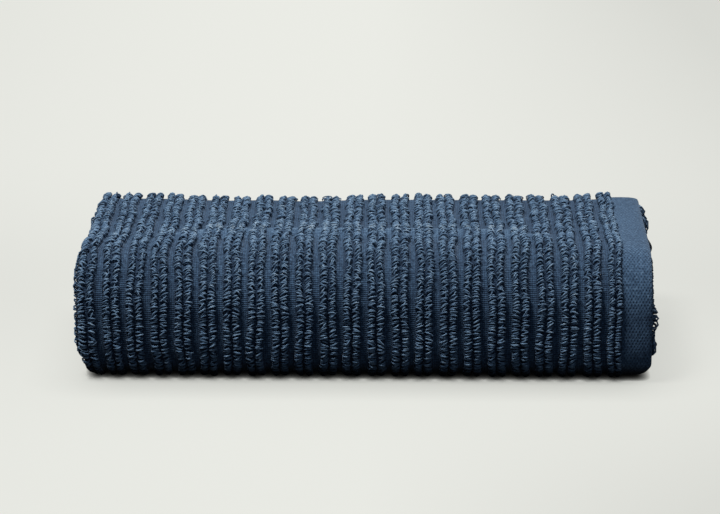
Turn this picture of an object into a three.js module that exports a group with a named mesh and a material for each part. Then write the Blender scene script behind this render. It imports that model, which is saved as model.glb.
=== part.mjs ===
// A ribbed terry face towel, folded in thirds along its length and then in half twice across its width.
// Millimetres, +Z up. X runs along the towel's length, from the fold on the left to the hem on the right.
// The big rounded fold is at the front, at -Y. The origin is at the middle of the box's underside.
import * as THREE from "three";

// The flat towel
const TOWEL_LENGTH = 800;
const TOWEL_WIDTH = 500;
const HEM_WIDTH = 14.3;
const RIB_PITCH = 11.1;
const PILE_HEIGHT = 2.75; // rib tops above the ground cloth
const HEM_BELOW_PILE = 2.2; // hem's face below the rib tops
const HEM_STEP = 0.8; // the hem's face stops this much short of the first rib

// The folded layers
const LAYER_PITCH = 4.85;
const LAYER_GAP = 0.4;
const HALF_FOLD_GAP = 0.5; // between the two halves of the first half fold
const CORE_GAP = 0.8; // at the heart of the last fold
const FOLD_PROUD_OF_HEM = 2; // the right-hand fold peeps out past the hem on top of it
const TUCKED_END = 1; // how far the inner hem reaches into the left-hand fold
const BACK_FOLD_SHORT = 2.4; // the back fold's runs are this much shorter than the free ends' runs

// The hem's edge droops over the fold under it
const HEM_DROOP_ANGLE = 22;
const HEM_DROOP_RADIUS = 12;

// Worked out from the sizes above
const HALF_LAYER = (LAYER_PITCH - LAYER_GAP) / 2;
const STACK = 3 * LAYER_PITCH; // thickness of the towel once it lies in thirds
const FULL_TURN = 180;
const arcLength = (degrees, radius) => THREE.MathUtils.degToRad(degrees) * radius;

// Two cords of loops and the parting between them make one rib.
// across is a share of the pitch from the rib's middle, rise a share of the pile height.
const RIB_PROFILE = [
  { across: -0.35, rise: 0 },
  { across: -0.22, rise: 1 },
  { across: 0, rise: 0.74 },
  { across: 0.22, rise: 1 },
  { across: 0.35, rise: 0 },
];
const FIRST_RIB = HEM_WIDTH + 0.24 * RIB_PITCH;
const FIRST_RIB_WIDTH = 0.65; // the rib beside the hem is narrower, by this share
const RIBS_PER_PLAIN_STEP = 3; // hidden stretches are plain, with one step for so many ribs

// How the settled stack departs from a straight fold. x and y are the middle of a soft mound,
// along and deep its half-lengths in X and Y, and lift its height on the top face.
const UNEVENNESS = [
  { x: -70, y: 54, along: 20, deep: 46, lift: -1.3 }, // dip in the back edge
  { x: -28, y: 54, along: 19, deep: 42, lift: -1.6 }, // a deeper one beside it
  { x: -6, y: -12, along: 78, deep: 9, lift: 0.9 }, // ridge of the old crease
  { x: -6, y: 6, along: 78, deep: 9, lift: -1.0 }, // trough behind that ridge
  { x: 78, y: -26, along: 26, deep: 10, lift: 0.5 }, // the crease goes on, nearer the front
  { x: -112, y: -20, along: 26, deep: 40, lift: -1.2 }, // left front corner sinks
  { x: 124, y: 45, along: 16, deep: 60, lift: 2.0 }, // hem end stands a little higher
];
const UNEVEN_FADE = 8; // power by which the unevenness dies away below the top
const TOP_TILT = { from: -35, lift: 1.5, to: 60, sink: 1.9, fade: 3 }; // the top slopes down to the back
const FRONT_SLUMP = { power: 3.5, lean: 4 }; // below its middle the front fold squares off and leans out
const LEFT_END_INSET = { behind: 2.4, below: 2.3 }; // drawn in at the back of the top and near the floor
const RIGHT_END_FLARE = 1.2; // the hem stands out this much further at the back of the top
const FRONT_BULGE = [
  { x: -70, along: 45, out: 1.0 },
  { x: 60, along: 50, out: 0.8 },
];
const PRESSED_FLAT = 1; // pile pressed down where the towel rests

// A path of straight runs and round turns, walked by its length.
// A positive turn bends to the left of the heading, a negative one to the right.
function makePath(start, heading, segments) {
  let point = start.clone();
  let angle = THREE.MathUtils.degToRad(heading);
  let length = 0;
  const legs = segments.map(({ run = 0, turn = 0, radius = 0 }) => {
    const leg = { point, angle, from: length, run, radius, bend: Math.sign(turn) };
    leg.size = turn ? arcLength(Math.abs(turn), radius) : run;
    const end = walk(leg, leg.size);
    point = end.point;
    angle = end.angle;
    length += leg.size;
    leg.to = length;
    return leg;
  });
  const at = (distance) => {
    const leg = legs.find(({ to }) => distance <= to) ?? legs.at(-1);
    return walk(leg, distance - leg.from);
  };
  return { legs, length, at };
}

// The point and heading after some distance along one leg of a path.
function walk({ point, angle, radius, bend }, distance) {
  const heading = bend ? angle + (bend * distance) / radius : angle;
  const end = point.clone();
  if (bend) {
    end.x += bend * radius * (Math.sin(heading) - Math.sin(angle));
    end.y -= bend * radius * (Math.cos(heading) - Math.cos(angle));
  } else {
    end.x += distance * Math.cos(angle);
    end.y += distance * Math.sin(angle);
  }
  return { point: end, angle: heading };
}

// The point beside a path, offset to the left of its heading.
function beside(path, distance, offset) {
  const { point, angle } = path.at(distance);
  return new THREE.Vector2(
    point.x - offset * Math.sin(angle),
    point.y + offset * Math.cos(angle),
  );
}

// Stations along a path: the ends of every leg, with some steps inside it.
function stations(path, steps) {
  const found = [0];
  path.legs.forEach((leg, i) => {
    for (let k = 1; k <= steps[i]; k++) found.push(leg.from + (leg.size * k) / steps[i]);
  });
  return found;
}

// The first fold: the middle line of the cloth in thirds, seen along the ribs.
// It starts at the hem on top, turns round the left end, comes back underneath,
// turns up at the right end and runs in between, to the other hem.
function thirdsPath() {
  const leftRadius = LAYER_PITCH;
  const rightRadius = LAYER_PITCH / 2;
  const droop = arcLength(HEM_DROOP_ANGLE, HEM_DROOP_RADIUS);
  const droopReach = HEM_DROOP_RADIUS * Math.sin(THREE.MathUtils.degToRad(HEM_DROOP_ANGLE));
  const droopFall =
    HEM_DROOP_RADIUS * (1 - Math.cos(THREE.MathUtils.degToRad(HEM_DROOP_ANGLE)));
  const foldInset = rightRadius + HALF_LAYER - FOLD_PROUD_OF_HEM;
  const turns = arcLength(FULL_TURN, leftRadius) + arcLength(FULL_TURN, rightRadius);
  const underRun = (TOWEL_LENGTH - droop - turns + droopReach - foldInset - TUCKED_END) / 3;
  const topRun = underRun + foldInset - droopReach;
  const start = new THREE.Vector2(topRun + droopReach, 2.5 * LAYER_PITCH - droopFall);
  return makePath(start, 180 - HEM_DROOP_ANGLE, [
    { turn: HEM_DROOP_ANGLE, radius: HEM_DROOP_RADIUS },
    { run: topRun },
    { turn: FULL_TURN, radius: leftRadius },
    { run: underRun },
    { turn: FULL_TURN, radius: rightRadius },
    { run: underRun + TUCKED_END },
  ]);
}

// The section of the cloth in thirds: the stations of its outer face, with the ribs that show,
// and those of its inner face. Each has its distance along the cloth and its point.
function thirdsSection() {
  const path = thirdsPath();
  const [droop, , leftTurn, , rightTurn] = path.legs;
  const ground = HALF_LAYER - PILE_HEIGHT;
  const hemFace = HALF_LAYER - HEM_BELOW_PILE;
  const ribEnds = RIB_PITCH / 2;
  const shows = (middle) =>
    middle < leftTurn.to + ribEnds ||
    (middle > rightTurn.from - ribEnds && middle < rightTurn.to + ribEnds);

  const outer = [
    { distance: 0, height: hemFace },
    { distance: droop.to / 2, height: hemFace },
    { distance: droop.to, height: hemFace },
    { distance: HEM_WIDTH - HEM_STEP, height: hemFace },
  ];
  const ribCount = Math.floor((path.length - HEM_WIDTH - FIRST_RIB) / RIB_PITCH) + 1;
  let plain = false;
  for (let count = 0; count < ribCount; count++) {
    const middle = FIRST_RIB + count * RIB_PITCH;
    if (shows(middle)) {
      if (plain) outer.push({ distance: middle - ribEnds, height: HALF_LAYER });
      for (const { across, rise } of RIB_PROFILE) {
        outer.push({
          distance: middle + across * RIB_PITCH * (count === 0 ? FIRST_RIB_WIDTH : 1),
          height: ground + rise * PILE_HEIGHT,
        });
      }
      plain = false;
    } else if (!plain || count % RIBS_PER_PLAIN_STEP === 0) {
      outer.push({ distance: middle - ribEnds, height: HALF_LAYER });
      plain = true;
    }
  }
  outer.push({ distance: path.length, height: HALF_LAYER });

  const INNER_STEPS = [2, 13, 5, 8, 4, 8]; // in the legs of the path, in turn
  const station = (distance, offset) => ({ distance, point: beside(path, distance, offset) });
  return {
    outer: outer.map(({ distance, height }) => station(distance, -height)),
    inner: stations(path, INNER_STEPS).map((distance) => station(distance, HALF_LAYER)),
  };
}

// The triangles of the section, laid like the rungs of a ladder between its two faces.
// Corners are numbered along the outer face and then back along the inner one.
function ladder(outer, inner) {
  const lastCorner = outer.length + inner.length - 1;
  const rungs = [];
  let o = 0;
  let i = 0;
  while (o + 1 < outer.length || i + 1 < inner.length) {
    const nextOuter = outer[o + 1]?.distance ?? Infinity;
    const nextInner = inner[i + 1]?.distance ?? Infinity;
    if (nextOuter <= nextInner) {
      rungs.push([o, o + 1, lastCorner - i]);
      o++;
    } else {
      rungs.push([o, lastCorner - i - 1, lastCorner - i]);
      i++;
    }
  }
  return rungs;
}

// The second fold: the line that the inmost face of the thirds follows, seen from the left end.
// It starts at the free end under the back, runs to the front, goes round the front fold
// and back over the top, doubles back in the first half fold, and follows itself inside
// to the other free end.
function halvesPath() {
  const outerRadius = STACK + HALF_FOLD_GAP + CORE_GAP / 2;
  const backRadius = HALF_FOLD_GAP / 2;
  const innerRadius = outerRadius - HALF_FOLD_GAP;
  const halfStack = STACK / 2;
  const turns =
    arcLength(FULL_TURN, outerRadius + halfStack) +
    arcLength(FULL_TURN, backRadius + halfStack) +
    arcLength(FULL_TURN, innerRadius - halfStack);
  const freeRun = (TOWEL_WIDTH - turns) / 4 + BACK_FOLD_SHORT / 2;
  const foldRun = freeRun - BACK_FOLD_SHORT;
  return makePath(new THREE.Vector2(freeRun, STACK), 180, [
    { run: freeRun },
    { turn: -FULL_TURN, radius: outerRadius },
    { run: foldRun },
    { turn: -FULL_TURN, radius: backRadius },
    { run: foldRun },
    { turn: FULL_TURN, radius: innerRadius },
    { run: freeRun },
  ]);
}

// A soft mound: 1 in the middle, falling away smoothly over its half-lengths.
const mound = (...shares) => Math.exp(-shares.reduce((sum, share) => sum + share * share, 0));

// Lets the front fold slump. Ahead of its axis and below it, a circle round the axis becomes a squarer
// curve, 1 = ahead^power + below^power, that also leans out over the floor.
function slump(ahead, below, radius) {
  if (ahead <= 0 || below <= 0) return ahead;
  const reach = Math.hypot(ahead, below);
  const { power, lean } = FRONT_SLUMP;
  const squared = reach * (1 - (below / reach) ** power) ** (1 / power);
  return squared + (lean * below * squared) / radius ** 2;
}

// Lets the straight folded stack settle: the front fold slumps and bulges, the top slopes and goes uneven,
// the two ends run askew and the pile underneath is pressed flat.
function settle(position, box) {
  const size = box.getSize(new THREE.Vector3());
  const middle = box.getCenter(new THREE.Vector3());
  const radius = size.z / 2;
  const frontAxis = box.min.y - middle.y + radius;
  for (let i = 0; i < position.count; i++) {
    const x = position.getX(i) - middle.x;
    const z = position.getZ(i) - box.min.z;
    const y = frontAxis - slump(frontAxis - position.getY(i) + middle.y, radius - z, radius);
    const up = z / size.z;
    const back = y / size.y + 0.5;
    const left = (Math.max(0, -x / size.x) * 2) ** 2;
    const right = (Math.max(0, x / size.x) * 2) ** 2;
    const behind = up * THREE.MathUtils.smoothstep(back, 0.12, 0.45);
    const below = 1 - THREE.MathUtils.smoothstep(up, 0.12, 0.36);
    const inset = left * (LEFT_END_INSET.behind * behind + LEFT_END_INSET.below * below);
    const slope = THREE.MathUtils.clamp((y - TOP_TILT.from) / (TOP_TILT.to - TOP_TILT.from), 0, 1);
    const tilt = THREE.MathUtils.lerp(TOP_TILT.lift, -TOP_TILT.sink, slope);
    let lift = 0;
    for (const bump of UNEVENNESS) {
      lift += bump.lift * mound((x - bump.x) / bump.along, (y - bump.y) / bump.deep);
    }
    let out = 0;
    for (const bulge of FRONT_BULGE) {
      out += bulge.out * mound((x - bulge.x) / bulge.along) * Math.sin(Math.PI * up);
    }
    position.setXYZ(
      i,
      x + inset + RIGHT_END_FLARE * right * back * up,
      y - out * (1 - back) ** 2,
      Math.max(0, z + tilt * up ** TOP_TILT.fade + lift * up ** UNEVEN_FADE - PRESSED_FLAT),
    );
  }
}

// Carries the outline of the thirds along the second fold and closes the two selvedges.
function foldedTowel() {
  const { outer, inner } = thirdsSection();
  const outline = [...outer, ...inner.toReversed()].map(({ point }) => point);
  const path = halvesPath();
  const FOLD_STEPS = [3, 9, 6, 5, 1, 4, 1]; // in the legs of the path, in turn
  const rows = stations(path, FOLD_STEPS);
  const around = outline.length;
  const points = [];
  for (const distance of rows) {
    for (const corner of outline) {
      const place = beside(path, distance, corner.y);
      points.push(corner.x, place.x, place.y);
    }
  }
  const faces = [];
  for (let row = 0; row + 1 < rows.length; row++) {
    for (let k = 0; k < around; k++) {
      const a = row * around + k;
      const b = row * around + ((k + 1) % around);
      faces.push(a, a + around, b, b, a + around, b + around);
    }
  }
  const lastRow = (rows.length - 1) * around;
  for (const [a, b, c] of ladder(outer, inner)) {
    faces.push(a, b, c, lastRow + c, lastRow + b, lastRow + a);
  }
  const geometry = new THREE.BufferGeometry();
  geometry.setAttribute("position", new THREE.Float32BufferAttribute(points, 3));
  geometry.setIndex(faces);
  geometry.computeBoundingBox();
  settle(geometry.getAttribute("position"), geometry.boundingBox);
  geometry.computeBoundingBox();
  const box = geometry.boundingBox;
  geometry.translate(-(box.min.x + box.max.x) / 2, -(box.min.y + box.max.y) / 2, -box.min.z);
  geometry.computeVertexNormals();
  return geometry;
}

const slateBlueTerry = new THREE.MeshStandardMaterial({
  color: 0x4a5f75,
  roughness: 0.95,
  metalness: 0,
});

const towel = new THREE.Mesh(foldedTowel(), slateBlueTerry);
towel.name = "towel";

const part = new THREE.Group();
part.add(towel);

export default part;
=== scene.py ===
import bpy
import numpy as np
from mathutils import Matrix


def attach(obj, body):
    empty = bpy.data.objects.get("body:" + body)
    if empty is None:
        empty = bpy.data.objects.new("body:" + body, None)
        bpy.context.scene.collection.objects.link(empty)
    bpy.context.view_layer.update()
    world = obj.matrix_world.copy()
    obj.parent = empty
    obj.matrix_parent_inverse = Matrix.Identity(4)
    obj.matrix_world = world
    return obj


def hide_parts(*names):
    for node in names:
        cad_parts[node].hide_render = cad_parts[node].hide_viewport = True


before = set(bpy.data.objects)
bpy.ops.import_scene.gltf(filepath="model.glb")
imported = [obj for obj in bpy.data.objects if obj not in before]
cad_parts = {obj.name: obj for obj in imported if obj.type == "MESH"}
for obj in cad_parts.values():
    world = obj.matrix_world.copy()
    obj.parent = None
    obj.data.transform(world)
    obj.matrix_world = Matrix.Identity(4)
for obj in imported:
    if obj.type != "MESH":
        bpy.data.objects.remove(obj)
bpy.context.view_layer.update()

# The towel's cloth: one woven length of cotton, 0.8 m by 0.5 m, with ribs of loop pile across it, a turned
# hem at each end and a selvedge at each side. It lies folded in thirds along its length and then in half
# twice across its width, so the last fold is the big round one at the front. Sizes are in millimetres.
MM = 0.001
TOWEL_LENGTH = 800.0
TOWEL_WIDTH = 500.0
HEM_WIDTH = 14.3
HEM_SUNK = 2.2  # face of the hems below the rib tops
SELVEDGE_WIDTH = 5.0
RIB_PITCH = 11.1
RIB_COUNT = 69
PILE_HEIGHT = 2.75  # rib tops above the ground cloth
LAYER_PITCH = 4.85
LAYER_GAP = 0.4
HALF_GAP = 0.5  # between the halves of the folded stack
CORE_GAP = 0.8  # inside its innermost fold
HALF_LAYER = (LAYER_PITCH - LAYER_GAP) / 2
GROUND = HALF_LAYER - PILE_HEIGHT  # height of the ground cloth's face from the middle of its layer
HEM_FACE = HALF_LAYER - HEM_SUNK
REVERSE = -HALF_LAYER
FIRST_RIB_GAP = 0.24  # middle of the rib beside the hem from the hem, in pitches
FIRST_RIB = HEM_WIDTH + FIRST_RIB_GAP * RIB_PITCH
FIRST_RIB_WIDTH = 0.65  # that rib is narrower, with this share of the usual width
RIB_MIDDLES = FIRST_RIB + RIB_PITCH * np.arange(RIB_COUNT)
STACK = 3 * LAYER_PITCH


class FoldPath:
    """Straight runs and round turns in a row. A turn is (degrees, radius), positive to the left."""

    def __init__(self, start, heading, legs):
        x, y, angle, reached = start[0], start[1], np.radians(heading), 0.0
        rows = []
        for leg in legs:
            turn, radius = leg if isinstance(leg, tuple) else (0.0, 0.0)
            size = abs(np.radians(turn)) * radius if turn else leg
            bend = np.sign(turn) / radius if turn else 0.0
            rows.append((x, y, angle, bend, reached))
            x, y, angle = (float(value) for value in self.walk(x, y, angle, bend, size))
            reached += size
        self.x, self.y, self.angle, self.bend, self.begins = np.array(rows).T
        self.ends = np.append(self.begins[1:], reached)
        self.length = reached

    @staticmethod
    def walk(x, y, angle, bend, distance):
        """A straight step where bend is 0, and otherwise an arc of curvature bend."""
        turned = angle + bend * distance
        curve = np.where(bend == 0, 1.0, bend)
        along = np.where(bend == 0, distance * np.cos(angle), (np.sin(turned) - np.sin(angle)) / curve)
        aside = np.where(bend == 0, distance * np.sin(angle), (np.cos(angle) - np.cos(turned)) / curve)
        return x + along, y + aside, turned

    def beside(self, distance, offset):
        """The point at a distance along the path, moved by offset to the left of its heading."""
        leg = np.clip(np.searchsorted(self.ends, distance), 0, len(self.ends) - 1)
        x, y, angle = self.walk(
            self.x[leg], self.y[leg], self.angle[leg], self.bend[leg], distance - self.begins[leg]
        )
        return x - offset * np.sin(angle), y + offset * np.cos(angle)

    def stations(self, spacing):
        """Distances from end to end of each leg, in steps no longer than the spacing of that leg."""
        steps = [
            np.linspace(a, b, max(1, int(np.ceil((b - a) / gap))), endpoint=False)
            for a, b, gap in zip(self.begins, self.ends, spacing)
        ]
        return np.append(np.concatenate(steps), self.length)


def fold_in_thirds():
    """From the hem on top, round the left end, back underneath, up at the right end and in between."""
    proud, tucked, droop_angle, droop_radius = 2.0, 1.0, 22.0, 12.0
    left, right = LAYER_PITCH, LAYER_PITCH / 2
    droop = np.radians(droop_angle) * droop_radius
    reach = droop_radius * np.sin(np.radians(droop_angle))
    fall = droop_radius * (1 - np.cos(np.radians(droop_angle)))
    inset = right + HALF_LAYER - proud
    under = (TOWEL_LENGTH - droop - np.pi * (left + right) + reach - inset - tucked) / 3
    top = under + inset - reach
    legs = [(droop_angle, droop_radius), top, (180.0, left), under, (180.0, right), under + tucked]
    return FoldPath((top + reach, 2.5 * LAYER_PITCH - fall), 180 - droop_angle, legs)


def fold_in_halves():
    """From the free end under the back to the front, round and over the top, and back inside it."""
    back_short = 2.4
    front = STACK + HALF_GAP + CORE_GAP / 2
    back = HALF_GAP / 2
    core = front - HALF_GAP
    turns = np.pi * (front + back + core + STACK / 2)
    free = (TOWEL_WIDTH - turns) / 4 + back_short / 2
    run = free - back_short
    legs = [free, (-180.0, front), run, (-180.0, back), run, (180.0, core), free]
    return FoldPath((free, STACK), 180, legs)


THIRDS = fold_in_thirds()
HALVES = fold_in_halves()
STRAIGHT_LOW = np.array([
    THIRDS.x[3] - LAYER_PITCH - HALF_LAYER,
    HALVES.x[1] - 2 * STACK - HALF_GAP - CORE_GAP / 2,
    0.0,
])
STRAIGHT_HIGH = np.array([
    THIRDS.x[4] + LAYER_PITCH / 2 + HALF_LAYER,
    HALVES.x[3] + HALF_GAP / 2 + STACK,
    4 * STACK + 2 * HALF_GAP + CORE_GAP,
])
STRAIGHT_SIZE = STRAIGHT_HIGH - STRAIGHT_LOW
STRAIGHT_MIDDLE = (STRAIGHT_LOW + STRAIGHT_HIGH) / 2

# Soft mounds on the top of the stack: middle in x and y, half-lengths along x and y, and height
MOUNDS = (
    (-70, 54, 20, 46, -1.3),  # dip in the back edge
    (-28, 54, 19, 42, -1.6),  # a deeper one beside it
    (-6, -12, 78, 9, 0.9),  # ridge of the old crease
    (-6, 6, 78, 9, -1.0),  # trough behind that ridge
    (78, -26, 26, 10, 0.5),  # the crease goes on, nearer the front
    (-112, -20, 26, 40, -1.2),  # left front corner sinks
    (124, 45, 16, 60, 2.0),  # hem end stands a little higher
)
BULGES = ((-70, 45, 1.0), (60, 50, 0.8))  # of the front: middle in x, half-length along x, and reach
LEFT_INSET_BEHIND, LEFT_INSET_BELOW = 2.4, 2.3  # the left end draws in behind and below
LEFT_BEHIND_SPAN, LEFT_BELOW_SPAN = (0.12, 0.45), (0.12, 0.36)  # shares of the depth and of the height
RIGHT_FLARE = 1.2  # the right end stands out above and behind
CORNER_INSET, CORNER_HEIGHT, CORNER_POWER = 5.5, 0.16, 8  # the lower corners are rounded off
PRESSED_FLAT = 1.0  # pile pressed down where the towel rests
RESTS_AT = 0.03  # clear of the floor's own plane
MOUND_FADE = 8  # power by which the mounds die away below the top
TILT_PLACES, TILT_LIFTS, TILT_FADE = (-35, 60), (1.5, -1.9), 3  # the top slopes down to the back
SLUMP_POWER, SLUMP_LEAN = 3.5, 4.0
FRONT_RADIUS = STRAIGHT_SIZE[2] / 2
FRONT_AXIS = STRAIGHT_LOW[1] - STRAIGHT_MIDDLE[1] + FRONT_RADIUS
CREASE_BACK, CREASE_WIDTH, CREASE_PRESS, CREASE_DEPTH, CREASE_RIDGE = -17.0, 5.0, 0.6, 0.8, 1.2
CREASE_LEFT, CREASE_RIGHT, CREASE_FADE = -85, 68, 25
CREASE_MIDDLE, CREASE_STRAIGHT, CREASE_BEND = -5, 60, 0.01  # past its straight part it bends forward
# Width of the painted light along the old crease.
CREASE_LIGHT_WIDTH = 7.0
FACE_LOW, FACE_HIGH = 6.0, 3.2  # the uppermost face begins this far below the top of the stack


def ease(value, low, high):
    """0 below low, 1 above high, and 3t^2 - 2t^3 between them."""
    share = np.clip((value - low) / (high - low), 0, 1)
    return share * share * (3 - 2 * share)


def crease_share(x, y, width=CREASE_WIDTH):
    """1 on the line of the old crease, which bends forward towards both ends, falling away beside it."""
    past_straight = np.maximum(0, np.abs(x - CREASE_MIDDLE) - CREASE_STRAIGHT)
    line = CREASE_BACK - CREASE_BEND * past_straight**2
    left_end = ease(x, CREASE_LEFT - CREASE_FADE, CREASE_LEFT)
    right_end = ease(-x, -CREASE_RIGHT - CREASE_FADE, -CREASE_RIGHT)
    return left_end * right_end * np.exp(-(((y - line) / width) ** 2))


def on_uppermost_face(z):
    """1 on the uppermost face of the straight stack, easing to 0 on what lies under it."""
    return ease(z, STRAIGHT_SIZE[2] - FACE_LOW, STRAIGHT_SIZE[2] - FACE_HIGH)


def slump(ahead, below):
    """Ahead of the front fold's axis and below it, a circle round the axis becomes a squarer curve,
    1 = ahead^power + below^power, that also leans out over the floor."""
    reach = np.hypot(ahead, below)
    share = np.clip(below / np.maximum(reach, 1e-9), 0, 1)
    squared = reach * (1 - share**SLUMP_POWER) ** (1 / SLUMP_POWER)
    leaning = squared * (1 + SLUMP_LEAN * below / FRONT_RADIUS**2)
    return np.where((ahead > 0) & (below > 0), leaning, ahead)


def settle(x, y, z):
    """The straight stack with its front fold slumped and bulged, its top sloping and gone uneven, pile
    and valleys ironed together along the old crease, its ends askew, its lower corners rounded off and its
    underside pressed flat."""
    x = x - STRAIGHT_MIDDLE[0]
    y = FRONT_AXIS - slump(FRONT_AXIS - y + STRAIGHT_MIDDLE[1], FRONT_RADIUS - z)
    top = STRAIGHT_SIZE[2]
    creased = crease_share(x, y) * on_uppermost_face(z)
    z = z + creased * (CREASE_PRESS * (top - CREASE_DEPTH - z) + CREASE_RIDGE)
    up = z / top
    back = y / STRAIGHT_SIZE[1] + 0.5
    tilt = np.interp(y, TILT_PLACES, TILT_LIFTS)
    left = np.maximum(0, -2 * x / STRAIGHT_SIZE[0]) ** 2
    right = np.maximum(0, 2 * x / STRAIGHT_SIZE[0]) ** 2
    inset = LEFT_INSET_BEHIND * up * ease(back, *LEFT_BEHIND_SPAN)
    inset = inset + LEFT_INSET_BELOW * (1 - ease(up, *LEFT_BELOW_SPAN))
    at_corners = left**CORNER_POWER - right**CORNER_POWER
    corner_inset = CORNER_INSET * (1 - ease(up, 0, CORNER_HEIGHT)) * at_corners
    lift = sum(
        height * np.exp(-((x - mx) / along) ** 2 - ((y - my) / deep) ** 2)
        for mx, my, along, deep, height in MOUNDS
    )
    out = sum(reach * np.exp(-((x - mx) / along) ** 2) for mx, along, reach in BULGES)
    raised = z + tilt * np.abs(up) ** TILT_FADE + lift * np.abs(up) ** MOUND_FADE
    return (
        x + left * inset + right * RIGHT_FLARE * back * up + corner_inset,
        y - out * np.sin(np.pi * up) * (1 - back) ** 2,
        np.maximum(RESTS_AT, raised - PRESSED_FLAT),
    )


def fold_straight(along, across, height):
    """A point of the flat cloth, by its distance along the length, across the width and above the middle
    of its layer, carried round both folds."""
    x, level = THIRDS.beside(along, -height)
    return x, *HALVES.beside(across, level)


def fold(along, across, height):
    """A point of the flat cloth, folded and settled."""
    return np.stack(settle(*fold_straight(along, across, height)), axis=-1)


def crease_light_share(along, across):
    """How much painted light lies along the old crease at a place of the flat cloth, from 0 to 1."""
    x, y, z = fold_straight(along, across, np.full_like(along, GROUND))
    return on_uppermost_face(z) * crease_share(x - STRAIGHT_MIDDLE[0], y - STRAIGHT_MIDDLE[1], CREASE_LIGHT_WIDTH)


# The settled stack is centred as its solid is, by the reach of its pile.
reach_along, reach_across = np.meshgrid(
    THIRDS.stations([2, 4, 0.5, 8, 0.5, 8]), HALVES.stations([8, 1, 4, 0.05, 20, 20, 20]), indexing="ij"
)
reach = fold(reach_along, reach_across, np.full_like(reach_along, HALF_LAYER)).reshape(-1, 3)
CENTRE = (reach.min(axis=0) + reach.max(axis=0)) / 2 * np.array([1, 1, 0])


def mesh_piece(name, points, quads, triangles=()):
    """A smooth-shaded mesh object at the origin, from points in millimetres and corner indices."""
    quads = np.asarray(quads, dtype=np.int32).reshape(-1, 4)
    triangles = np.asarray(triangles, dtype=np.int32).reshape(-1, 3)
    corners = np.concatenate([quads.ravel(), triangles.ravel()])
    starts = np.concatenate([
        4 * np.arange(len(quads)),
        4 * len(quads) + 3 * np.arange(len(triangles)),
    ]).astype(np.int32)
    mesh = bpy.data.meshes.new(name)
    mesh.vertices.add(len(points))
    mesh.vertices.foreach_set("co", (np.asarray(points) * MM).astype(np.float32).ravel())
    mesh.loops.add(len(corners))
    mesh.loops.foreach_set("vertex_index", corners)
    mesh.polygons.add(len(starts))
    mesh.polygons.foreach_set("loop_start", starts)
    mesh.polygons.foreach_set("use_smooth", np.ones(len(starts), dtype=bool))
    mesh.update(calc_edges=True)
    piece = bpy.data.objects.new(name, mesh)
    bpy.context.collection.objects.link(piece)
    return piece, corners


def walked_length(along):
    """Length walked across the settled cloth, half way up the pile, at a distance along it."""
    even = np.linspace(0, HALVES.length, 3000)
    across = np.unique(np.append(even, HALVES.stations([1, 1, 1, 0.01, 1, 1, 1])))
    line = fold(np.full_like(across, along), across, np.full_like(across, GROUND + PILE_HEIGHT / 2))
    steps = np.linalg.norm(np.diff(line, axis=0), axis=-1)
    return across, np.concatenate([[0], np.cumsum(steps)])


def rib_width(along):
    """Share of the usual width that a rib has at a distance along the cloth."""
    return np.where(along < FIRST_RIB + RIB_PITCH / 2, FIRST_RIB_WIDTH, 1.0)


def rib_rise(along):
    """Height of the low double mound that loops stand on: two cosine humps beside the rib's middle."""
    from_middle = np.abs((along - FIRST_RIB + RIB_PITCH / 2) % RIB_PITCH - RIB_PITCH / 2) / RIB_PITCH
    from_middle = from_middle / rib_width(along)
    column, inner, outer = 0.19, 0.25, 0.19
    share = (from_middle - column) / np.where(from_middle < column, inner, outer)
    on_ribs = (along > HEM_WIDTH) & (along < TOWEL_LENGTH - HEM_WIDTH)
    return np.where(on_ribs, MOUND_RISE * np.maximum(0, np.cos(np.pi / 2 * np.clip(share, -1, 1))), 0)


MOUND_RISE = 1.7
LAST_FACE_RIB = 23
END_FOLD_RIBS = (23, 46, 47)
OUTMOST_RIB, OUTMOST_CREST = 47, 0.55  # mostly hidden behind the hem's edge
TUFTS = ((232.0, 16.0, 1.1), (126.5, 5.0, 1.0), (113.5, 3.5, 0.5))  # but these peep out past it
TUFT_FILL = 1.45  # of the mound under them
OUTLINE_FILL, OUTLINE_WIDTH = 0.25, 14.0  # mounds are fuller where they make the towel's outline
FOOT_SHADOW_FILL, FOOT_SHADOW_FILL_WIDTH = 1.75, 9.0  # where the front meets the floor the valleys are filled out to it, a filler painted nearly black that stands in for the shadow between the ribs' feet
HEM_ROUND, HEM_ROUND_SHARE = 0.9, 0.45  # the hem's edges are rounded off over this width
# Width of a painted highlight along each hem's edge, where its fold catches the light.
HEM_EDGE_HIGHLIGHT = 0.5
SELVEDGE_ROUND, SELVEDGE_THINNED = 1.2, 0.9
SELVEDGE_ROWS = np.array([0.2, 0.5, 1.0, 3, 6])
CREASE_ROWS = np.arange(6, 38, 1.2)  # behind the front fold, where the old crease lies
FINE_PROFILE = np.array([-0.39, -0.29, -0.19, 0, 0.19, 0.29, 0.39])
COARSE_PROFILE = np.array([-0.39, -0.19, 0, 0.19, 0.39])
HEM_STATIONS = np.array([0, 0.3, 0.9, 2.5, 5, 9, 12, HEM_WIDTH - 0.8])


def face_stations():
    """Distances along the cloth at which its face is modelled: fine on the ribs that show."""
    fine = np.array([k <= LAST_FACE_RIB or k in END_FOLD_RIBS for k in range(RIB_COUNT)])
    ribs = [
        middle + RIB_PITCH * rib_width(middle) * (FINE_PROFILE if shows else COARSE_PROFILE)
        for middle, shows in zip(RIB_MIDDLES, fine)
    ]
    return np.concatenate([HEM_STATIONS, *ribs, TOWEL_LENGTH - HEM_STATIONS[::-1]])


def hem_rounding(along):
    """How far each face of a hem draws in at its edge, falling to 0 as a square over the rounded width."""
    to_end = np.minimum(along, TOWEL_LENGTH - along)
    return (HEM_FACE - REVERSE) * HEM_ROUND_SHARE * np.clip(1 - to_end / HEM_ROUND, 0, 1) ** 2


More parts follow.
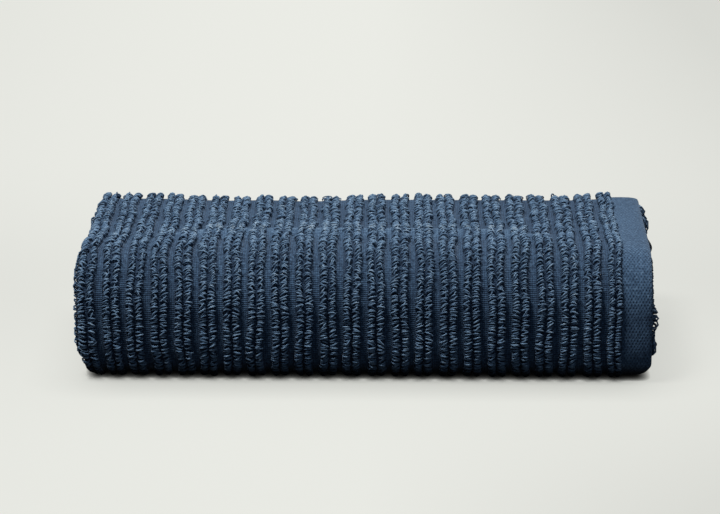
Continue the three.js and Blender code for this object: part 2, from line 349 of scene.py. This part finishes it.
def face_height(along):
    """The ground cloth, and the hems a little over it with their edges rounded off."""
    to_end = np.minimum(along, TOWEL_LENGTH - along)
    return np.where(to_end <= HEM_WIDTH, HEM_FACE - hem_rounding(along), GROUND)


def reverse_height(along):
    """The plain reverse, rounded off at the hems."""
    return REVERSE + hem_rounding(along)


def selvedge_share(across, width):
    """0 at the two selvedges, rising smoothly to 1 at a width in from them."""
    return ease(np.minimum(across, HALVES.length - across), 0, width)


def tuft_share(walked):
    """Fullness of the outmost rib, by the length walked across the cloth: low, but for its tufts."""
    return OUTMOST_CREST + sum(high * np.exp(-(((walked - at) / half) ** 2)) for at, half, high in TUFTS)


face_across, face_length = walked_length(RIB_MIDDLES[10])
face_along = face_stations()
reverse_along = THIRDS.stations([1, 8, 1.2, 16, 0.8, 16])[::-1]
ring_along = np.concatenate([face_along, reverse_along])
ring_height = np.concatenate([face_height(face_along), reverse_height(reverse_along)])
row_across = np.unique(np.concatenate([
    HALVES.stations([8, 1.0, 3, 0.06, 16, 4, 16]),
    HALVES.begins[2] + CREASE_ROWS,
    SELVEDGE_ROWS,
    HALVES.length - SELVEDGE_ROWS,
]))
grid_along, grid_across = np.meshgrid(ring_along, row_across)
grid_height = np.broadcast_to(ring_height, grid_along.shape).copy()
on_face = np.broadcast_to(np.arange(len(ring_along)) < len(face_along), grid_along.shape)
flat_width = np.interp(grid_across, face_across, face_length)
nearest_rib = np.round((grid_along - FIRST_RIB) / RIB_PITCH)
outline = np.exp(-(((grid_across - HALVES.begins[3]) / OUTLINE_WIDTH) ** 2))
outline = np.where(np.isin(nearest_rib, END_FOLD_RIBS), 1, outline)
tufted = TUFT_FILL * tuft_share(flat_width)
fullness = np.where(nearest_rib == OUTMOST_RIB, tufted, 1 + OUTLINE_FILL * outline)
rise = np.where(on_face, rib_rise(grid_along) * fullness, 0)
# A filler between the ribs' feet, painted nearly black, standing in for the contact shadow there.
foot_shadow_fill = FOOT_SHADOW_FILL * np.exp(-(((grid_across - HALVES.begins[1]) / FOOT_SHADOW_FILL_WIDTH) ** 2))
standing = rise * selvedge_share(grid_across, SELVEDGE_WIDTH)
grid_height += np.where(on_face, np.maximum(standing, foot_shadow_fill), 0)
ground_middle = (GROUND + REVERSE) / 2
edge = np.sqrt(1 - SELVEDGE_THINNED * (1 - selvedge_share(grid_across, SELVEDGE_ROUND)) ** 2)
grid_height = ground_middle + (grid_height - ground_middle) * edge
cloth_points = fold(grid_along, grid_across, grid_height) - CENTRE

rows, around = grid_along.shape
corner = np.arange(rows * around).reshape(rows, around)
beside_corner = np.roll(corner, -1, axis=1)
cloth_quads = np.stack([corner[:-1], corner[1:], beside_corner[1:], beside_corner[:-1]], axis=-1)


def end_ladder(row):
    """Triangles between the face's and the reverse's points of one selvedge, like rungs of a ladder: each
    point, in their order along the cloth, is joined to the last ones before it on both sides."""
    face = corner[row, :len(face_along)]
    reverse = corner[row, len(face_along):][::-1]
    steps = np.concatenate([face_along[1:], reverse_along[::-1][1:]])
    order = np.argsort(steps, kind="stable")
    on_face_side = order < len(face) - 1
    last_face = np.cumsum(on_face_side) - on_face_side
    last_reverse = np.cumsum(~on_face_side) - ~on_face_side
    next_point = np.where(
        on_face_side,
        face[np.minimum(last_face + 1, len(face) - 1)],
        reverse[np.minimum(last_reverse + 1, len(reverse) - 1)],
    )
    return np.stack([face[last_face], next_point, reverse[last_reverse]], axis=-1)


cloth_triangles = np.concatenate([end_ladder(0), end_ladder(rows - 1)[:, ::-1]])
cloth_points = cloth_points.reshape(-1, 3)
cloth, cloth_corners = mesh_piece("towel_cloth", cloth_points, cloth_quads, cloth_triangles)

flat_uv = np.stack([grid_along, flat_width], axis=-1).reshape(-1, 2) * MM
uv_layer = cloth.data.uv_layers.new(name="flat_cloth")
uv_layer.data.foreach_set("uv", flat_uv[cloth_corners].astype(np.float32).ravel())
to_hem = np.minimum(grid_along, TOWEL_LENGTH - grid_along)
plain = np.maximum(to_hem <= HEM_WIDTH, 1 - selvedge_share(grid_across, SELVEDGE_WIDTH))
# A thin painted highlight along the hems' edges.
hem_edge_highlight = np.exp(-((to_hem / HEM_EDGE_HIGHLIGHT) ** 2))
# Painted light along the old crease and along the hems' edges.
crease_and_hem_edge_light = np.maximum(crease_light_share(grid_along, grid_across), hem_edge_highlight)
# The ground cloth under the pile's mounds is painted darker: painted shade of the loops above it.
cloth_shares = {"plain_weave": plain, "shade_under_pile": np.minimum(rise / MOUND_RISE, 1), "crease_and_hem_edge_light": crease_and_hem_edge_light}
for cloth_key, cloth_values in cloth_shares.items():
    cloth_layer = cloth.data.attributes.new(cloth_key, "FLOAT", "POINT")
    cloth_layer.data.foreach_set("value", cloth_values.astype(np.float32).ravel())


def node_of(tree, kind, **values):
    """A node with its properties set, and its inputs filled by name or number."""
    node = tree.nodes.new(kind)
    for key, value in values.items():
        if key.startswith("in_"):
            socket = key[3:]
            socket = int(socket) if socket.isdigit() else socket.replace("_", " ")
            node.inputs[socket].default_value = value
        else:
            setattr(node, key, value)
    return node


def maths(tree, operation, *terms):
    """A Math node: each term is a number or another node's output."""
    node = node_of(tree, "ShaderNodeMath", operation=operation)
    for number, term in enumerate(terms):
        if isinstance(term, (int, float)):
            node.inputs[number].default_value = term
        else:
            tree.links.new(term, node.inputs[number])
    return node.outputs[0]


def dye_and_painted_light_group():
    """Slate blue dye with painted light and shade laid over it: light where Lit is 1 and deep where it is
    0, with slow unevenness and fine heather.
    Close to the floor it is painted nearly black, a painted contact shadow where no light reaches."""
    group = bpy.data.node_groups.new("dye_and_painted_light", "ShaderNodeTree")
    group.interface.new_socket("Lit", in_out="INPUT", socket_type="NodeSocketFloat")
    group.interface.new_socket("Colour", in_out="OUTPUT", socket_type="NodeSocketColor")
    given = group.nodes.new("NodeGroupInput")
    given_out = group.nodes.new("NodeGroupOutput")
    place = group.nodes.new("ShaderNodeTexCoord")
    slow = node_of(group, "ShaderNodeTexNoise", in_Scale=UNEVEN_SCALE, in_Detail=2.0)
    fine = node_of(group, "ShaderNodeTexNoise", in_Scale=HEATHER_SCALE, in_Detail=3.0)
    group.links.new(place.outputs["Object"], slow.inputs["Vector"])
    group.links.new(place.outputs["Object"], fine.inputs["Vector"])
    uneven = maths(group, "MULTIPLY_ADD", slow.outputs["Fac"], UNEVEN, -UNEVEN / 2)
    heather = maths(group, "MULTIPLY_ADD", fine.outputs["Fac"], HEATHER, -HEATHER / 2)
    lit = maths(group, "ADD", maths(group, "ADD", given.outputs["Lit"], uneven), heather)
    parts = group.nodes.new("ShaderNodeSeparateXYZ")
    group.links.new(place.outputs["Object"], parts.inputs["Vector"])
    outside_painted_shadow = node_of(group, "ShaderNodeMapRange", in_1=FOOT_SHADOW_LOW, in_2=FOOT_SHADOW_HIGH)
    group.links.new(parts.outputs["Z"], outside_painted_shadow.inputs["Value"])
    ramp = group.nodes.new("ShaderNodeValToRGB")
    ramp.color_ramp.elements[0].color = DEEP_BLUE
    ramp.color_ramp.elements[1].color = HIGHLIGHT_BLUE
    ramp.color_ramp.elements.new(SLATE_AT).color = SLATE_BLUE
    ramp.color_ramp.elements.new(PALE_AT).color = PALE_BLUE
    group.links.new(lit, ramp.inputs["Fac"])
    # Painted contact shadow: towards the floor the colour turns nearly black.
    foot = node_of(group, "ShaderNodeMix", data_type="RGBA")
    foot.inputs["A"].default_value = FOOT_PAINTED_SHADOW
    group.links.new(outside_painted_shadow.outputs["Result"], foot.inputs["Factor"])
    group.links.new(ramp.outputs["Color"], foot.inputs["B"])
    group.links.new(foot.outputs["Result"], given_out.inputs["Colour"])
    return group


DEEP_BLUE = (0.010, 0.026, 0.056, 1)
SLATE_BLUE = (0.055, 0.108, 0.185, 1)
PALE_BLUE = (0.155, 0.245, 0.350, 1)
# The palest colour, at the top of the ramp: painted highlight on the loops' tips and along the crease.
HIGHLIGHT_BLUE = (0.30, 0.39, 0.47, 1)
SLATE_AT, PALE_AT = 0.4, 0.8
UNEVEN, UNEVEN_SCALE = 0.3, 28.0
HEATHER, HEATHER_SCALE = 1.1, 800.0
# Colour of the painted contact shadow at the towel's foot.
FOOT_PAINTED_SHADOW = (0.001, 0.002, 0.004, 1)
FOOT_SHADOW_LOW, FOOT_SHADOW_HIGH = 4.0 * MM, 8.5 * MM  # heights at which the painted contact shadow begins to clear and has cleared
# The cotton's dye, with painted light and shade laid over it.
DYE_AND_PAINTED_LIGHT = dye_and_painted_light_group()


def cotton_material(name):
    """A matt cotton surface: its tree, its Principled shader and its node of dye with painted light and
    shade.
    """
    material = bpy.data.materials.new(name)
    material.use_nodes = True
    tree = material.node_tree
    shader = tree.nodes["Principled BSDF"]
    shader.inputs["Roughness"].default_value = 0.95
    shader.inputs["Specular IOR Level"].default_value = 0.15
    shader.inputs["Sheen Weight"].default_value = 0.25
    shader.inputs["Sheen Roughness"].default_value = 0.6
    shader.inputs["Sheen Tint"].default_value = (0.55, 0.68, 0.85, 1)
    dye_and_light_node = node_of(tree, "ShaderNodeGroup", node_tree=DYE_AND_PAINTED_LIGHT)
    tree.links.new(dye_and_light_node.outputs["Colour"], shader.inputs["Base Color"])
    return material, tree, shader, dye_and_light_node


def woven_cloth_material():
    """Plain weave: fine cross lines in the valleys, and staggered pits on the hems and selvedges."""
    valley_pitch, hem_pitch, hem_pitch_across = 1.0 * MM, 1.5 * MM, 2.85 * MM
    line_across, line_along, pit_depth, pit_level = 0.7, 0.5, -1.9, 0.4
    shaded_valley_tone, weave_relief_painted_shade_tone, plain_lift_over_shaded_valley, crease_and_hem_edge_light_tone, painted_shade_under_pile_tone = 0.15, 0.15, 0.14, 0.3, -0.4
    material, tree, shader, dye_and_light_node = cotton_material("woven_cotton")
    flat = node_of(tree, "ShaderNodeUVMap", uv_map="flat_cloth")
    parts = tree.nodes.new("ShaderNodeSeparateXYZ")
    tree.links.new(flat.outputs["UV"], parts.inputs["Vector"])
    along, across = parts.outputs["X"], parts.outputs["Y"]

    def wave(place, pitch):
        return maths(tree, "SINE", maths(tree, "MULTIPLY", place, 2 * np.pi / pitch))

    lines = maths(tree, "MULTIPLY", wave(across, valley_pitch), line_across)
    lines = maths(tree, "MULTIPLY_ADD", wave(along, valley_pitch), line_along, lines)
    pits = maths(tree, "MULTIPLY", wave(across, hem_pitch_across), wave(along, hem_pitch))
    pits = maths(tree, "MULTIPLY_ADD", maths(tree, "MAXIMUM", pits, 0.0), pit_depth, pit_level)
    plain_share = node_of(tree, "ShaderNodeAttribute", attribute_name="plain_weave")
    weave = node_of(tree, "ShaderNodeMix", data_type="FLOAT")
    tree.links.new(plain_share.outputs["Fac"], weave.inputs["Factor"])
    tree.links.new(lines, weave.inputs["A"])
    tree.links.new(pits, weave.inputs["B"])
    bump = node_of(tree, "ShaderNodeBump", in_Strength=0.6, in_Distance=0.25 * MM)
    tree.links.new(weave.outputs["Result"], bump.inputs["Height"])
    tree.links.new(bump.outputs["Normal"], shader.inputs["Normal"])
    # Painted shade: the ground cloth is painted darker where the pile's mounds stand over it.
    shade_under_pile = node_of(tree, "ShaderNodeAttribute", attribute_name="shade_under_pile")
    # Painted light along the old crease and the hems' edges lightens the cloth.
    crease_and_hem_edge_light = node_of(tree, "ShaderNodeAttribute", attribute_name="crease_and_hem_edge_light")
    # Painted shade of the weave's relief: its raised threads lighter, its pits darker.
    lit = maths(tree, "MULTIPLY_ADD", weave.outputs["Result"], weave_relief_painted_shade_tone, shaded_valley_tone)
    # The plain hems and selvedges are painted lighter than the valleys, whose darker tone is painted shade
    # of the ribs beside them.
    lit = maths(tree, "MULTIPLY_ADD", plain_share.outputs["Fac"], plain_lift_over_shaded_valley, lit)
    lit = maths(tree, "MULTIPLY_ADD", crease_and_hem_edge_light.outputs["Fac"], crease_and_hem_edge_light_tone, lit)
    lit = maths(tree, "MULTIPLY_ADD", shade_under_pile.outputs["Fac"], painted_shade_under_pile_tone, lit)
    tree.links.new(lit, dye_and_light_node.inputs["Lit"])
    return material


cloth.data.materials.append(woven_cloth_material())
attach(cloth, "root")
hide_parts("towel")

# The terry ribs: each is two columns of cotton loops with a parting between them. A loop stands on the
# ground cloth beside the parting, arches over and goes down again at the valley. All lean the way the pile
# lies, but no two lie quite alike, and those on the top of the stack are the more tousled.
LOOP_PITCH = 0.95
LOOP_SIDES = 4
LOOP_ANGLES = np.radians(np.arange(0, 181, 30))
YARN_RADIUS = 0.36
YARN_TAPER = np.array([0.9, 1, 1.1, 1, 0.9])  # thickest at the crest
LOOP_MIDDLE = 2.15  # from the parting
LOOP_HALF = 1.6
LOOP_STAGGER = 0.15  # every other loop stands nearer the parting
LOOP_ROOT, LOOP_CREST = 0.1, 2.35
LOOP_SWELL = 0.12  # a loop is wider by this share at its crest
LOOP_SLANT = 0.15
FIRST_RIB_SHIFT, FIRST_RIB_SPREAD = 0.8, 0.8  # loops beside the hem lean away from it and fluff out
PILE_LEAN = 0.9  # of the crests, the way from the underside over the front to the top
HEMWARD_LEAN = 0.5
# How much the loops differ from each other, and over what lengths they drift
PITCH_SPREAD, HALF_SPREAD, MIDDLE_SPREAD, CREST_SPREAD = 0.13, 0.1, 0.15, 0.12
BEND_SPREAD, TWIST_SPREAD, YARN_SPREAD = 0.2, 0.25, 0.1
RIB_WANDER, RIB_LENGTHS = 0.5, (90, 37)
TURN_DRIFT, TURN_SPREAD, TURN_LENGTHS = 0.3, 0.35, (33, 14)
LEAN_DRIFT, LEAN_SPREAD, LEAN_LENGTHS = 0.3, 0.3, (27, 11)
TOUSLED_BELOW, TOUSLED_LEFT, TOUSLED_ABOVE = 0.6, 0.2, 1.0
# Loops along the old crease are painted this much lighter: painted light.
CREASE_LIGHT_TONE = 0.9
draw = np.random.default_rng(41)


def drift(count, place, lengths):
    """Smooth wavering along each column: a sum of sines of the given lengths, with phases of its own."""
    phases = draw.uniform(0, 2 * np.pi, (len(lengths), count, 1))
    waves = [np.sin(2 * np.pi * place / length + phase) for length, phase in zip(lengths, phases)]
    return sum(waves) / np.sqrt(len(lengths))


def loop_columns(ribs, first, last):
    """Places of the loops in both columns of some ribs: distance along the cloth, side of the parting
    and distance walked across, with how each loop is turned, leans and is tousled."""
    count = int((last - first) / LOOP_PITCH)
    columns = 2 * len(ribs)
    walked = first + LOOP_PITCH * (np.arange(count) + 0.5) + draw.normal(0, PITCH_SPREAD, (columns, count))
    side = np.tile([-1.0, 1.0], len(ribs))[:, None]
    wander = np.repeat(drift(len(ribs), walked[::2], RIB_LENGTHS), 2, axis=0) * RIB_WANDER
    beside_hem = np.repeat([k == 0 for k in ribs], 2)[:, None]
    along = np.repeat(RIB_MIDDLES[list(ribs)], 2)[:, None] + wander
    along = along + np.where(beside_hem, FIRST_RIB_SHIFT, 0)
    upward = np.clip((walked - FRONT_MIDDLE) / (TOP_START - FRONT_MIDDLE), 0, 1)
    leftward = np.minimum(along / RIB_MIDDLES[LAST_FACE_RIB], 1)
    tousled = TOUSLED_BELOW + TOUSLED_LEFT * leftward + TOUSLED_ABOVE * upward
    turned = TURN_DRIFT * drift(columns, walked, TURN_LENGTHS)
    turned = tousled * (turned + draw.normal(0, TURN_SPREAD, walked.shape)) - LOOP_SLANT * side
    lean = LEAN_DRIFT * drift(columns, walked, LEAN_LENGTHS)
    lean = tousled * (lean + draw.normal(0, LEAN_SPREAD, walked.shape)) + PILE_LEAN
    stagger = np.tile([-1.0, 1.0], count)[:count]
    width = np.where(beside_hem, FIRST_RIB_SPREAD, 1.0)
    outmost = np.repeat([k == OUTMOST_RIB for k in ribs], 2)[:, None]
    fullness = np.where(outmost, tuft_share(walked), 1.0)
    table = dict(
        along=along, side=side, walked=walked, turned=turned, lean=lean,
        tousled=tousled, stagger=stagger, width=width, fullness=fullness,
    )
    return {name: np.broadcast_to(value, walked.shape).reshape(-1, 1) for name, value in table.items()}


def loop_piece(name, ribs, first, last):
    """Closed tubes along arches: out = middle - half cos(angle), rise = root + crest sqrt(sin(angle)),
    turned about their middle and leaning by lean sin(angle)."""
    place = loop_columns(ribs, first, last)
    count = len(place["along"])
    angle = LOOP_ANGLES[None, :]

    def vary(spread):
        return draw.normal(0, spread, (count, 1)) * place["tousled"]

    half = place["width"] * LOOP_HALF * (1 + vary(HALF_SPREAD))
    middle = place["width"] * (LOOP_MIDDLE + LOOP_STAGGER * place["stagger"] + vary(MIDDLE_SPREAD))
    crest = LOOP_CREST * place["fullness"] * (1 + vary(CREST_SPREAD))
    arch = np.sin(angle)
    uneven = np.sin(2 * angle)
    reach = -half * np.cos(angle) * (1 + LOOP_SWELL * arch) + vary(BEND_SPREAD) * uneven
    out = middle + reach * np.cos(place["turned"])
    shift = reach * np.sin(place["turned"]) + place["lean"] * arch + vary(TWIST_SPREAD) * uneven
    rise = LOOP_ROOT + crest * np.sqrt(arch)
    line = np.stack([out * place["side"] - HEMWARD_LEAN * arch, shift, rise], axis=-1)

    tangent = np.gradient(line, axis=1)
    tangent /= np.linalg.norm(tangent, axis=-1, keepdims=True)
    binormal = np.array([0, 1.0, 0]) - tangent * tangent[..., 1:2]
    binormal /= np.linalg.norm(binormal, axis=-1, keepdims=True)
    normal = np.cross(tangent, binormal)
    turn = 2 * np.pi * np.arange(LOOP_SIDES) / LOOP_SIDES
    radius = (YARN_RADIUS * (1 + vary(YARN_SPREAD)) * YARN_TAPER)[..., None, None]
    ring = (
        normal[:, 1:-1, None, :] * np.cos(turn)[:, None]
        + binormal[:, 1:-1, None, :] * np.sin(turn)[:, None]
    )
    tube = (line[:, 1:-1, None, :] + radius * ring).reshape(count, -1, 3)
    local = np.concatenate([tube, line[:, :1], line[:, -1:]], axis=1)

    across, length = walked_length(np.mean(RIB_MIDDLES[list(ribs)]))
    along = place["along"] + local[..., 0]
    walked = np.interp(place["walked"] + local[..., 1], length, across)
    points = fold(along, walked, GROUND + local[..., 2]) - CENTRE

    rings = len(LOOP_ANGLES) - 2
    size = rings * LOOP_SIDES + 2
    ring_corner = np.arange(rings * LOOP_SIDES).reshape(rings, LOOP_SIDES)
    next_corner = np.roll(ring_corner, -1, axis=1)
    quads = [ring_corner[:-1], next_corner[:-1], next_corner[1:], ring_corner[1:]]
    quads = np.stack(quads, axis=-1).reshape(-1, 4)
    foot, far_foot = size - 2, size - 1
    caps = np.concatenate([
        np.stack([next_corner[0], ring_corner[0], np.full(LOOP_SIDES, foot)], axis=-1),
        np.stack([ring_corner[-1], next_corner[-1], np.full(LOOP_SIDES, far_foot)], axis=-1),
    ])
    # A column on the other side of the parting is a mirror image, so its faces turn round.
    start = (size * np.arange(count))[:, None, None]
    mirrored = (place["side"] < 0)[:, :, None]
    quads = np.where(mirrored, quads[None, :, ::-1], quads[None]) + start
    caps = np.where(mirrored, caps[None, :, ::-1], caps[None]) + start
    piece, _ = mesh_piece(name, points.reshape(-1, 3), quads, caps)

    # Loops along the old crease are painted lighter: painted light where its ridge catches the light.
    crease_light = crease_light_share(place["along"], np.interp(place["walked"], length, across))
    tone = np.repeat(draw.uniform(0, 1, count) + CREASE_LIGHT_TONE * crease_light[:, 0], size)
    # Painted light and shade: each loop is painted lighter towards its crest and darker at its roots.
    tube_painted_light = np.concatenate([np.repeat(arch[0, 1:-1], LOOP_SIDES), [0, 0]])
    for key, values in (("tone", tone), ("tip_painted_light", np.tile(tube_painted_light, count))):
        layer = piece.data.attributes.new(key, "FLOAT", "POINT")
        layer.data.foreach_set("value", values.astype(np.float32))
    piece.data.materials.append(YARN)
    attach(piece, "root")
    return piece


def yarn_material():
    """Loop yarn: painted shade at the roots and painted light at the tips, and each loop with a tone of its
    own.
    """
    tip_painted_light_tone, own_tone, root_tone = 0.75, 0.24, -0.19
    material, tree, _, dye_and_light_node = cotton_material("loop_yarn")
    tip_painted_light = node_of(tree, "ShaderNodeAttribute", attribute_name="tip_painted_light").outputs["Fac"]
    tone = node_of(tree, "ShaderNodeAttribute", attribute_name="tone").outputs["Fac"]
    lit = maths(tree, "MULTIPLY_ADD", tone, own_tone, root_tone)
    lit = maths(tree, "MULTIPLY_ADD", tip_painted_light, tip_painted_light_tone, lit)
    tree.links.new(lit, dye_and_light_node.inputs["Lit"])
    return material


YARN = yarn_material()
FRONT_MIDDLE, TOP_START, BACK_END = np.interp(
    [(HALVES.begins[1] + HALVES.ends[1]) / 2, HALVES.ends[1], HALVES.ends[3]], face_across, face_length
)
HIDDEN_RIBS = [k for k in range(LAST_FACE_RIB, RIB_COUNT) if k not in END_FOLD_RIBS]
INNER_RIBS = [k for k in range(RIB_COUNT) if k not in END_FOLD_RIBS]
SELVEDGE_PILE = 5.0  # of the hidden ribs, this much shows between the layers at their selvedges
SELVEDGE_BARE = 3.0
INNER_END = walked_length(np.mean(RIB_MIDDLES[INNER_RIBS]))[1][-1] - SELVEDGE_BARE
FACE_END = BACK_END + 4  # just round the back fold
END_FOLDS_END = 480.0
loop_pieces = [
    loop_piece("loops_hem_side", range(0, 6), SELVEDGE_WIDTH, FACE_END),
    loop_piece("loops_right_middle", range(6, 12), SELVEDGE_WIDTH, FACE_END),
    loop_piece("loops_left_middle", range(12, 18), SELVEDGE_WIDTH, FACE_END),
    loop_piece("loops_fold_side", range(18, 23), SELVEDGE_WIDTH, FACE_END),
    loop_piece("loops_end_folds", END_FOLD_RIBS, SELVEDGE_WIDTH, END_FOLDS_END),
    loop_piece("loops_lower_selvedge", HIDDEN_RIBS, SELVEDGE_BARE, SELVEDGE_BARE + SELVEDGE_PILE),
    loop_piece("loops_inner_selvedge", INNER_RIBS, INNER_END - SELVEDGE_PILE, INNER_END),
]

# The floor and backdrop: one pale sheet of paper lies under the towel and sweeps up behind it in a wide
# bend, so that no edge of it shows.
SWEEP_HALF_WIDTH = 3.0
SWEEP_FRONT, SWEEP_BACK, SWEEP_RADIUS, SWEEP_TOP = -3.0, 2.2, 0.8, 3.0
bend = np.linspace(0, np.pi / 2, 17)
sweep_y = np.concatenate([[SWEEP_FRONT], SWEEP_BACK - SWEEP_RADIUS * (1 - np.sin(bend)), [SWEEP_BACK]])
sweep_z = np.concatenate([[0], SWEEP_RADIUS * (1 - np.cos(bend)), [SWEEP_TOP]])
sweep_points = np.stack([
    np.stack([np.full_like(sweep_y, side), sweep_y, sweep_z], axis=-1)
    for side in (-SWEEP_HALF_WIDTH, SWEEP_HALF_WIDTH)
]) / MM
low = np.arange(len(sweep_y) - 1)
high = low + len(sweep_y)
sweep_quads = np.stack([low, high, high + 1, low + 1], axis=-1)
floor, _ = mesh_piece("floor", sweep_points.reshape(-1, 3), sweep_quads)


def paper_material():
    """Pale paper that glows a little itself, so its shadows stay faint, and throws little light back. Its
    tone, which holds a painted light falloff and a painted shadow round the towel, is 1 + rise y - dip
    exp(-((y - dip_at) / dip_width)^2) - x^2 - max(x, 0) fall, or the darkest one, with fall = right +
    right_behind max(y, 0) + right_ahead max(-ahead_from - y, 0). Where the towel is near, painted shadow
    from ambient occlusion darkens it twice over: widely in front, and closely all round."""
    rise, dip, dip_at, dip_width, darkest = 0.05, 0.07, 0.08, 0.15, 0.85
    right, right_behind, right_ahead, ahead_from = 0.05, 0.8, 5.0, 0.08
    material = bpy.data.materials.new("pale_paper")
    material.use_nodes = True
    tree = material.node_tree
    shader = tree.nodes["Principled BSDF"]
    shader.inputs["Base Color"].default_value = (*(PAPER_SHADED * PALE_PAPER), 1)
    shader.inputs["Roughness"].default_value = 1.0
    shader.inputs["Specular IOR Level"].default_value = 0.0
    shader.inputs["Emission Color"].default_value = (*PALE_PAPER, 1)
    place = tree.nodes.new("ShaderNodeTexCoord")
    parts = tree.nodes.new("ShaderNodeSeparateXYZ")
    tree.links.new(place.outputs["Object"], parts.inputs["Vector"])
    beside = parts.outputs["X"]
    beyond = parts.outputs["Y"]
    from_dip = maths(tree, "MULTIPLY_ADD", beyond, 1 / dip_width, -dip_at / dip_width)
    dipped = maths(tree, "MULTIPLY", maths(tree, "MULTIPLY", from_dip, from_dip), -1.0)
    tone = maths(tree, "MULTIPLY_ADD", beyond, rise, 1.0)
    tone = maths(tree, "MULTIPLY_ADD", maths(tree, "EXPONENT", dipped), -dip, tone)
    tone = maths(tree, "SUBTRACT", tone, maths(tree, "MULTIPLY", beside, beside))
    ahead = maths(tree, "MAXIMUM", maths(tree, "SUBTRACT", -ahead_from, beyond), 0.0)
    fall = maths(tree, "MULTIPLY_ADD", maths(tree, "MAXIMUM", beyond, 0.0), right_behind, right)
    fall = maths(tree, "MULTIPLY_ADD", ahead, right_ahead, fall)
    fall = maths(tree, "MULTIPLY", maths(tree, "MAXIMUM", beside, 0.0), fall)
    tone = maths(tree, "MAXIMUM", maths(tree, "SUBTRACT", tone, fall), darkest)
    backward = node_of(tree, "ShaderNodeCombineXYZ", in_Y=0.8, in_Z=0.6)
    wide = node_of(tree, "ShaderNodeAmbientOcclusion", in_Distance=WIDE_REACH)
    close = node_of(tree, "ShaderNodeAmbientOcclusion", in_Distance=CLOSE_REACH)
    tree.links.new(backward.outputs["Vector"], wide.inputs["Normal"])
    # Painted shadow: the glow is darkened by ambient occlusion round the towel.
    glow_with_painted_shadow = maths(tree, "MULTIPLY", close.outputs["AO"], close.outputs["AO"])
    glow_with_painted_shadow = maths(tree, "MULTIPLY", glow_with_painted_shadow, maths(tree, "POWER", wide.outputs["AO"], WIDE_POWER))
    glow_with_painted_shadow = maths(tree, "MULTIPLY", maths(tree, "MULTIPLY", glow_with_painted_shadow, tone), 1 - PAPER_SHADED)
    tree.links.new(glow_with_painted_shadow, shader.inputs["Emission Strength"])
    seen = tree.nodes.new("ShaderNodeLightPath")
    unseen = node_of(tree, "ShaderNodeBsdfDiffuse", in_Color=UNSEEN_PAPER)
    either = tree.nodes.new("ShaderNodeMixShader")
    tree.links.new(seen.outputs["Is Camera Ray"], either.inputs[0])
    tree.links.new(unseen.outputs["BSDF"], either.inputs[1])
    tree.links.new(shader.outputs["BSDF"], either.inputs[2])
    tree.links.new(either.outputs["Shader"], tree.nodes["Material Output"].inputs["Surface"])
    return material


PALE_PAPER = np.array([0.80, 0.808, 0.760])
PAPER_SHADED = 0.10
UNSEEN_PAPER = (0.05, 0.05, 0.05, 1)  # what it throws back on the towel
# Reaches and strength of the painted shadow round the towel.
WIDE_REACH, WIDE_POWER, CLOSE_REACH = 0.03, 0.2, 0.004
floor.data.materials.append(paper_material())

# The light and the camera: a soft light hangs above at the left, a wide one behind brightens the top, and a
# weak blue one fills the front, which falls away to dark. The camera looks a little down on the front.
scene = bpy.context.scene
scene.view_settings.view_transform = "Standard"


def soft_light(name, place, aim, size, power):
    """A square area light at a place, turned to face a point."""
    lamp = bpy.data.lights.new(name, "AREA")
    lamp.size = size
    lamp.energy = power
    holder = bpy.data.objects.new(name, lamp)
    bpy.context.collection.objects.link(holder)
    turn_to(holder, place, aim)
    return holder


def turn_to(holder, place, aim, roll=0.0):
    """Moves an object to a place and turns its -Z axis to a point, its +Y axis upward but for a roll."""
    forward = np.array(aim, dtype=float) - np.array(place, dtype=float)
    forward /= np.linalg.norm(forward)
    level = np.cross(forward, [0, 0, 1.0])
    level /= np.linalg.norm(level)
    right = np.cos(roll) * level + np.sin(roll) * np.cross(level, forward)
    upward = np.cross(right, forward)
    matrix = np.eye(4)
    matrix[:3, :3] = np.stack([right, upward, -forward], axis=1)
    matrix[:3, 3] = place
    holder.matrix_world = Matrix(matrix.tolist())


FILL_BLUE = (0.75, 0.92, 1.2)
STUDIO_BLUE, STUDIO_STRENGTH = (0.75, 0.95, 1.2, 1), 0.03
soft_light("key_light", place=(-0.5, -0.28, 1.55), aim=(0, 0, 0), size=0.5, power=26.2)
soft_light("back_light", place=(0.0, 1.3, 2.0), aim=(0, 0.7, 0), size=2.0, power=26)
fill_light = soft_light("fill_light", place=(0.2, -1.4, 1.3), aim=(0, 0, 0), size=1.0, power=2.4)
fill_light.data.color = FILL_BLUE
world = bpy.data.worlds.new("studio")
world.use_nodes = True
world.node_tree.nodes["Background"].inputs["Color"].default_value = STUDIO_BLUE
world.node_tree.nodes["Background"].inputs["Strength"].default_value = STUDIO_STRENGTH
scene.world = world

CAMERA_LENS = 175.0
CAMERA_ELEVATION = np.radians(15.8)
CAMERA_YAW = np.radians(0.45)
CAMERA_ROLL = np.radians(0.15)
CAMERA_DISTANCE = 1.671
CAMERA_AIM = np.array([-0.0033, 0, 0.0413])
lens = bpy.data.cameras.new("camera")
lens.lens = CAMERA_LENS
lens.clip_end = 50
camera = bpy.data.objects.new("camera", lens)
bpy.context.collection.objects.link(camera)
toward = np.array([
    -np.sin(CAMERA_YAW) * np.cos(CAMERA_ELEVATION),
    np.cos(CAMERA_YAW) * np.cos(CAMERA_ELEVATION),
    -np.sin(CAMERA_ELEVATION),
])
turn_to(camera, CAMERA_AIM - CAMERA_DISTANCE * toward, CAMERA_AIM, CAMERA_ROLL)
scene.camera = camera
